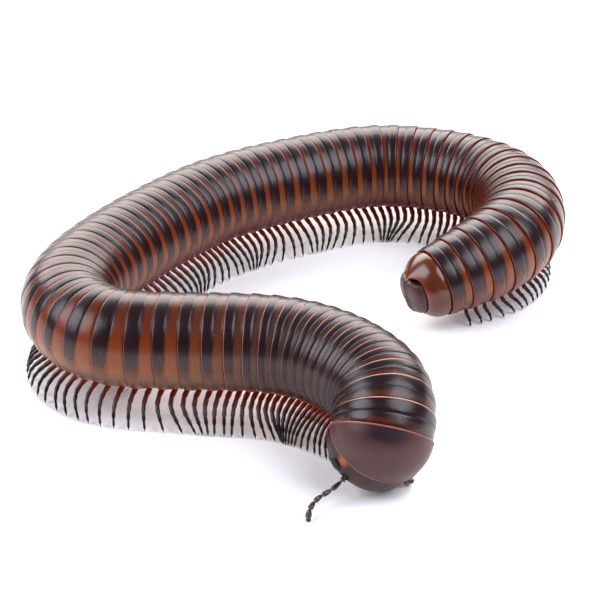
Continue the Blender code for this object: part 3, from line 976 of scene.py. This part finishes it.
def makeHeadShell():
    # Thick chitin of the head end, plum-brown and duller than the rings, its margin thin and red
    look = headLook
    material, tree, shader = startMaterial("plumCuticle", look)
    headMap = readMark(tree, "headMap")
    place = addNode(tree, "TexCoord").outputs["Object"]
    cloud = addNode(
        tree,
        "TexNoise",
        {"Scale": 1.0 / (look["cloudSize"] * mm), "Detail": look["cloudDetail"]},
        {"Vector": place},
    )
    darkShare = addNode(
        tree,
        "Math",
        {"operation": "MULTIPLY_ADD", 1: look["cloudShare"]},
        {0: cloud.outputs["Fac"], 2: headMap["Y"]},
    )
    darkPatch = addNode(
        tree,
        "MapRange",
        {
            "interpolation_type": "SMOOTHSTEP",
            "From Min": look["darkSpan"][0],
            "From Max": look["darkSpan"][1],
        },
        {"Value": darkShare.outputs[0]},
    )
    plum = addNode(
        tree,
        "Mix",
        {"data_type": "RGBA", 6: hexColour(look["shell"]), 7: hexColour(look["shellDark"])},
        {0: darkPatch.outputs[0]},
    )
    colour = plum.outputs[2]
    for name, share in (("rim", headMap["X"]), ("cheek", headMap["Z"])):
        settings = {"data_type": "RGBA", 7: hexColour(look[name])}
        colour = addNode(tree, "Mix", settings, {0: share, 6: colour}).outputs[2]
    mottled = addGrain(tree, shader, place, colour, look["grain"])
    tree.links.new(mottled, shader.inputs["Base Color"])
    varyGloss(tree, shader, cloud.outputs["Fac"], look)
    return material


plainLook = {
    "mouth": {"colour": "2c1616", "roughness": 0.34, "size": 0.6},
    "eye": {"colour": "0c0a0b", "roughness": 0.12, "size": 0.4},
    "ior": 1.56,
    "specularLevel": 0.5,
    "detail": 3.0,
    "span": (0.3, 0.7),
    "shade": (0.7, 1.4),
    "strength": 0.3,
    "depth": 0.01,
}


def makePlainChitin(name, piece):
    # Chitin of one colour, with the faint grain that keeps it from looking moulded
    look = {**plainLook, **plainLook[piece]}
    material, tree, shader = startMaterial(name, look)
    tone = addNode(tree, "RGB").outputs[0]
    tone.default_value = hexColour(look["colour"])
    place = addNode(tree, "TexCoord").outputs["Object"]
    mottled = addGrain(tree, shader, place, tone, look)
    tree.links.new(mottled, shader.inputs["Base Color"])
    return material


def paintHead(bm, values):
    # values gives margin redness, dark patch and cheek amber for a point of the model
    layer = bm.verts.layers.float_vector.new("headMap")
    for vert in bm.verts:
        vert[layer] = values(np.array(vert.co))


def makeCollum(shell):
    shape = headShape
    place, ahead, crown, right = headFrame()
    face, faceCrown = faceFrame()[1:3]
    radius, front = shape["collumRadius"], shape["collumFront"]
    outline = [(0.0, -radius)]
    for step in range(1, shape["collumSteps"]):
        along = -radius + (front + radius) * step / shape["collumSteps"]
        outline.append((math.sqrt(radius**2 - along**2), along))
    edge = math.sqrt(radius**2 - front**2)
    outline += [(edge + out, front + along) for out, along in shape["collumRim"]]
    outline.append((0.0, front - shape["collumSink"]))
    bm = spinOutline(outline, shape["around"])
    setInFrame(bm, (right, faceCrown, face), place)
    sliceAway(bm, place + ahead * shape["gap"] / 2.0, -ahead)
    bmesh.ops.recalc_face_normals(bm, faces=bm.faces)

    # both margins rise to a fine bead, and three grooves run along the front one on the side lobes
    for vert in bm.verts:
        local = np.array(vert.co) - place
        fromNeck, fromFront = float(local @ ahead), front - float(local @ face)
        size = float(np.linalg.norm(local))
        if size < radius - shape["collumSkin"]:
            continue
        change = 0.0
        for distance, (height, at, width) in (
            (fromFront, shape["frontBead"]),
            (fromNeck, shape["neckBead"]),
        ):
            change += height * bellCurve(distance - at, width)
        sideward = smoothStep(abs(float(local @ right)) / radius, *shape["lobe"])
        grooves = sum(bellCurve(fromFront - at, shape["grooveWidth"]) for at in shape["grooves"])
        change -= sideward * shape["grooveDepth"] * grooves
        vert.co = Vector(place + local * (1.0 + change / size))

    def values(point):
        local = point - place
        fromNeck, fromFront = float(local @ ahead), front - float(local @ face)
        middle = bellCurve(float(local @ right) - shape["patchSide"], shape["patchWidth"])
        frontRim = 1.0 - smoothStep(fromFront, *shape["frontMargin"])
        neckRim = shape["neckMarginShare"] * (1.0 - smoothStep(fromNeck, *shape["neckMargin"]))
        patch = middle * (1.0 - smoothStep(fromNeck, *shape["patchFade"]))
        return max(frontRim, neckRim), shape["patchShare"] * patch, 0.0

    paintHead(bm, values)
    finishPiece("collumPlate", bm, shell, ["collum"])


def headCapsule():
    # the whole head as a blunt dome with a midline suture and antenna sockets, clear of the rings
    shape = headShape
    place, ahead = headFrame()[:2]
    face, faceCrown, right = faceFrame()[1:]
    depth, base, steps = shape["depth"], shape["base"], shape["domeSteps"]
    outline = [(0.0, base), (headRadius(base), base)]
    for step in range(1, steps):
        along = depth * math.sin(math.pi / 2.0 * step / steps)
        if along > shape["domeStart"]:
            outline.append((headRadius(along), along))
    outline.append((0.0, depth))
    bm = spinOutline(outline, shape["around"])
    middle, socketTurn = (math.radians(shape[name]) for name in ("faceTurn", "antennaTurn"))
    sutureDepth, sutureWidth = shape["suture"]
    pitDepth, pitWidth = shape["socket"]
    rimHeight, rimAt, rimWidth = shape["socketRim"]
    for vert in bm.verts:
        turn = math.atan2(vert.co.x, vert.co.y) - middle
        radius = math.hypot(vert.co.x, vert.co.y)
        if radius < shape["axisRadius"] or vert.co.z < shape["carved"]:
            continue
        dent = 0.0
        if math.cos(turn) > 0.0 and vert.co.z < shape["sutureEnd"]:
            dent = sutureDepth * bellCurve(abs(turn) * radius, sutureWidth)
        forward = (vert.co.z - shape["antennaAlong"]) * shape["socketStretch"]
        away = math.hypot((abs(turn) - socketTurn) * radius, forward)
        dent += pitDepth * bellCurve(away, pitWidth, 4)
        dent -= rimHeight * bellCurve(away - rimAt, rimWidth)
        vert.co.x *= (1.0 - dent / radius) * shape["width"]
        vert.co.y *= 1.0 - dent / radius
    setInFrame(bm, (right, faceCrown, face), place + face * shape["start"])
    sliceAway(bm, place + ahead * shape["gap"], -ahead)
    return bm


def headPart(name, cuts, material, node, values=None):
    bm = headCapsule()
    for point, normal in cuts:
        sliceAway(bm, point, normal)
    bmesh.ops.recalc_face_normals(bm, faces=bm.faces)
    if values:
        paintHead(bm, values)
    piece = finishPiece(name, bm, material, [node])
    soft = piece.modifiers.new("softEdges", "BEVEL")
    soft.width = headShape["softEdge"] * mm
    soft.segments = 2
    soft.limit_method = "ANGLE"
    soft.angle_limit = math.radians(headShape["softEdgeAngle"])


def makeHead(shell, mouth):
    shape = headShape
    place, face, crown, right = faceFrame()
    ahead = headFrame()[1]
    hinge = place + face * shape["mouthPoint"][0] + crown * shape["mouthPoint"][1]
    slope = math.radians(shape["mouthSlope"])
    chin = -math.cos(slope) * crown - math.sin(slope) * face
    half = shape["gap"] / 2.0
    cheekAlong, cheekTurn = shape["cheek"]
    cheeks = [onHead(cheekAlong, shape["faceTurn"] + side * cheekTurn)[0] for side in (1, -1)]

    def values(point):
        fromCheek = min(float(np.linalg.norm(point - spot)) for spot in cheeks)
        amber = shape["cheekShare"] * bellCurve(fromCheek, shape["cheekSize"], 4)
        return 0.0, shape["capsuleDark"], amber

    headPart("headCapsule", ((hinge, chin),), shell, "head", values)
    below = (
        (hinge + chin * shape["gap"], -chin),
        (place + ahead * shape["mouthClearance"], -ahead),
    )
    reach = shape["jawSide"]
    lipSides = (
        (place + right * (reach - half), right),
        (place - right * (reach - half), -right),
    )
    headPart("lowerLip", (*below, *lipSides), mouth, "lower_lip")
    for side, name, node in ((1, "jawRight", "jaw_right"), (-1, "jawLeft", "jaw_left")):
        cut = (place + side * right * (reach + half), -side * right)
        headPart(name, (*below, cut), mouth, node)
    print("head capsule and mouthparts made")


def makeEyes(material):
    # each eye is a field of small round lenses in staggered rows on a low oval mound
    shape = headShape
    face = faceFrame()[1]
    tall, wide, deep = shape["eyeHalf"]
    across, raised = shape["moundShare"]
    around, down = shape["moundSegments"]
    rows, columns = shape["lensRows"], shape["lensColumns"]
    lensAround, lensDown = shape["lensSegments"]
    pitch = shape["lensRadius"] * shape["lensPitch"]
    for side, name, node in ((1, "eyeRight", "eye_right"), (-1, "eyeLeft", "eye_left")):
        turn = shape["faceTurn"] + side * shape["eyeTurn"]
        point, outward = onHead(shape["eyeAlong"], turn)
        level = np.cross(outward, face)
        level = level / np.linalg.norm(level)
        bm = bmesh.new()
        bmesh.ops.create_uvsphere(bm, u_segments=around, v_segments=down, radius=1.0)
        bmesh.ops.scale(bm, vec=(wide * across, deep * across, tall * raised), verts=bm.verts)
        for row in range(-rows, rows + 1):
            for column in range(-columns, columns + 1):
                x = (column + 0.5 * (row % 2)) * pitch
                y = row * pitch * shape["rowPitch"]
                inside = 1.0 - (x / wide) ** 2 - (y / deep) ** 2
                if inside < shape["eyeEdge"]:
                    continue
                bmesh.ops.create_uvsphere(
                    bm,
                    u_segments=lensAround,
                    v_segments=lensDown,
                    radius=shape["lensRadius"],
                    matrix=Matrix.Translation((x, y, tall * raised * math.sqrt(inside))),
                )
        setInFrame(bm, (level, np.cross(outward, level), outward), point)
        bmesh.ops.recalc_face_normals(bm, faces=bm.faces)
        finishPiece(name, bm, material, [node])
    print("eyes made")


feelerLook = {
    "ior": 1.56,
    "roughness": 0.24,
    "specularLevel": 0.5,
    "article": "1c0f11",
    # pale joint: the soft membrane's own colour with a painted glint on it
    "joint": "6a5450",
}


def makeFeelerMaterial():
    # Thin dark chitin of the antennae, paler at the soft rings between the articles: a pale
    # membrane with a painted glint on it
    look = feelerLook
    material, tree, shader = startMaterial("feelerChitin", look)
    colour = addNode(
        tree,
        "Mix",
        {"data_type": "RGBA", 6: hexColour(look["article"]), 7: hexColour(look["joint"])},
        {0: readMark(tree, "legMap")["X"]},
    )
    tree.links.new(colour.outputs[2], shader.inputs["Base Color"])
    return material


def makeFeelers(material):
    shape = feelerShape
    for side, name, node in ((1, "right", "antenna_right"), (-1, "left", "antenna_left")):
        turn = headShape["faceTurn"] + side * headShape["antennaTurn"]
        start, outward = onHead(headShape["antennaAlong"], turn)
        root = start - outward * shape["rootDepth"]
        line = makeLine([root, *shape[name]], samples=shape["samples"])
        outline = [(0.0, 0.0)]
        joints = []
        at = 0.0
        for share, club in zip(shape["shares"], shape["clubs"]):
            length = share * line["length"]
            joints.append(at)
            widths = {"neck": shape["neck"], "club": club}
            for part, width, factor in shape["article"]:
                outline.append((widths[width] * factor, at + part * length))
            at += length
        outline.append((0.0, at))
        bm = spinOutline(outline, shape["around"])
        # four sense cones stand on the tip
        aside, past, wide, narrow, tall = shape["cone"]
        for quarter in range(4):
            angle = math.pi / 4.0 + quarter * math.pi / 2.0
            tip = (aside * math.cos(angle), aside * math.sin(angle), at + past)
            bmesh.ops.create_cone(
                bm,
                cap_ends=True,
                segments=shape["coneSides"],
                radius1=wide,
                radius2=narrow,
                depth=tall,
                matrix=Matrix.Translation(tip),
            )
        layer = bm.verts.layers.float_vector.new("legMap")
        for vert in bm.verts:
            near = min(abs(vert.co.z - joint - shape["jointAlong"]) for joint in joints)
            vert[layer] = (bellCurve(near, shape["jointWidth"]), 0.0, 0.0)
        bendAlong(line, list(bm.verts))
        bmesh.ops.recalc_face_normals(bm, faces=bm.faces)
        finishPiece("feeler_" + name, bm, material, [node])
    print("antennae made")


# Tail end

tailShape = {
    "around": 128,
    # radius and distance past the last ring's hind margin
    "telson": (
        (0.0, -0.35), (4.95, -0.35), (5.12, 0.0), (5.2, 0.3), (5.18, 0.8), (5.04, 1.35),
        (4.8, 1.9), (4.46, 2.4), (4.1, 2.8), (3.9, 3.0), (3.82, 3.08), (3.74, 3.16),
        (3.64, 3.2), (3.56, 3.14), (3.5, 2.9), (0.0, 2.9),
    ),
    # the small point on top: degrees across, start, length, sinking and narrowing
    "spikeTurn": 24.0,
    "spikeStart": 1.6,
    "spikeLength": 1.25,
    "spikeSink": 0.75,
    "spikeNarrowing": 0.35,
    "edge": 3.2,
    "rimRadius": 3.4,
    "rimFade": (2.7, 3.1),
    "innerRadius": 3.3,
    "valve": (
        (0.0, 3.2), (3.4, 3.2), (3.47, 3.36), (3.42, 3.65), (3.26, 3.96), (2.98, 4.26),
        (2.56, 4.52), (2.0, 4.7), (1.35, 4.8), (0.65, 4.84), (0.0, 4.85),
    ),
    "halfGap": 0.07,
    "valveTop": 2.3,
    "valveDark": 0.35,
    # raised lips of the valves: height, distance from the slit, width, and where they rise
    "lip": (0.22, 0.38, 0.2),
    "lipRise": (3.6, 4.4),
}

tailLook = {
    "ior": 1.56,
    "specularLevel": 0.45,
    "roughness": 0.22,
    "tail": "663010",
    "tailDark": "421a0a",
    "ridge": "78281a",
    "cloudSize": 2.5,
    "cloudDetail": 3.0,
    "grain": {
        "size": 0.22,
        "detail": 2.0,
        "span": (0.0, 1.0),
        "shade": (1.0, 1.0),
        "strength": 0.45,
        "depth": 0.012,
    },
}


def makeTailShell():
    # Chitin of the last ring, amber-brown, redder towards its hind margin
    look = tailLook
    material, tree, shader = startMaterial("amberCuticle", look)
    place = addNode(tree, "TexCoord").outputs["Object"]
    cloud = addNode(
        tree,
        "TexNoise",
        {"Scale": 1.0 / (look["cloudSize"] * mm), "Detail": look["cloudDetail"]},
        {"Vector": place},
    )
    base = addNode(
        tree,
        "Mix",
        {"data_type": "RGBA", 6: hexColour(look["tail"]), 7: hexColour(look["tailDark"])},
        {0: cloud.outputs["Fac"]},
    )
    ridged = addNode(
        tree,
        "Mix",
        {"data_type": "RGBA", 7: hexColour(look["ridge"])},
        {0: readMark(tree, "headMap")["X"], 6: base.outputs[2]},
    )
    mottled = addGrain(tree, shader, place, ridged.outputs[2], look["grain"])
    tree.links.new(mottled, shader.inputs["Base Color"])
    return material


def makeTail(tailShell, shell):
    shape = tailShape
    end = trunkShape["end"]
    bm = spinOutline([(radius, end + at) for radius, at in shape["telson"]], shape["around"])
    layer = bm.verts.layers.float_vector.new("headMap")
    for vert in bm.verts:
        turn = math.degrees(math.atan2(vert.co.x, vert.co.y))
        radius = math.hypot(vert.co.x, vert.co.y)
        past = vert.co.z - end
        onRim = float(smoothStep(past, *shape["rimFade"])) if radius > shape["rimRadius"] else 0.0
        vert[layer] = (onRim, 0.0, 0.0)
        if radius < shape["innerRadius"]:
            continue
        pull = bellCurve(turn, shape["spikeTurn"])
        pull *= smoothStep(past, shape["spikeStart"], shape["edge"])
        vert.co.z += shape["spikeLength"] * pull
        vert.co.y -= shape["spikeSink"] * pull
        vert.co.x *= 1.0 - shape["spikeNarrowing"] * pull
    bendAlong(spine, list(bm.verts))
    bmesh.ops.recalc_face_normals(bm, faces=bm.faces)
    finishPiece("tailRing", bm, tailShell, ["telson"])
    place, tailward, up, right = frameAt(spine, end + shape["edge"])
    height, fromSlit, width = shape["lip"]
    for side, name, node in (
        (1, "valveRight", "anal_valve_right"),
        (-1, "valveLeft", "anal_valve_left"),
    ):
        bm = spinOutline([(radius, end + at) for radius, at in shape["valve"]], shape["around"])
        for vert in bm.verts:
            lip = bellCurve(abs(vert.co.x) - fromSlit, width)
            vert.co.z += height * lip * smoothStep(vert.co.z - end, *shape["lipRise"])
        bendAlong(spine, list(bm.verts))
        sliceAway(bm, place + side * right * shape["halfGap"], -side * right)
        sliceAway(bm, place + up * shape["valveTop"], up)
        bmesh.ops.recalc_face_normals(bm, faces=bm.faces)
        paintHead(bm, lambda point: (0.0, shape["valveDark"], 0.0))
        finishPiece(name, bm, shell, [node])
    print("tail made")


makeStudio()
makeRings(makeCuticle())
makeLegs(makeLegCuticle())
headShell = makeHeadShell()
makeCollum(headShell)
makeHead(headShell, makePlainChitin("mouthChitin", "mouth"))
makeEyes(makePlainChitin("eyeLenses", "eye"))
makeFeelers(makeFeelerMaterial())
makeTail(makeTailShell(), headShell)
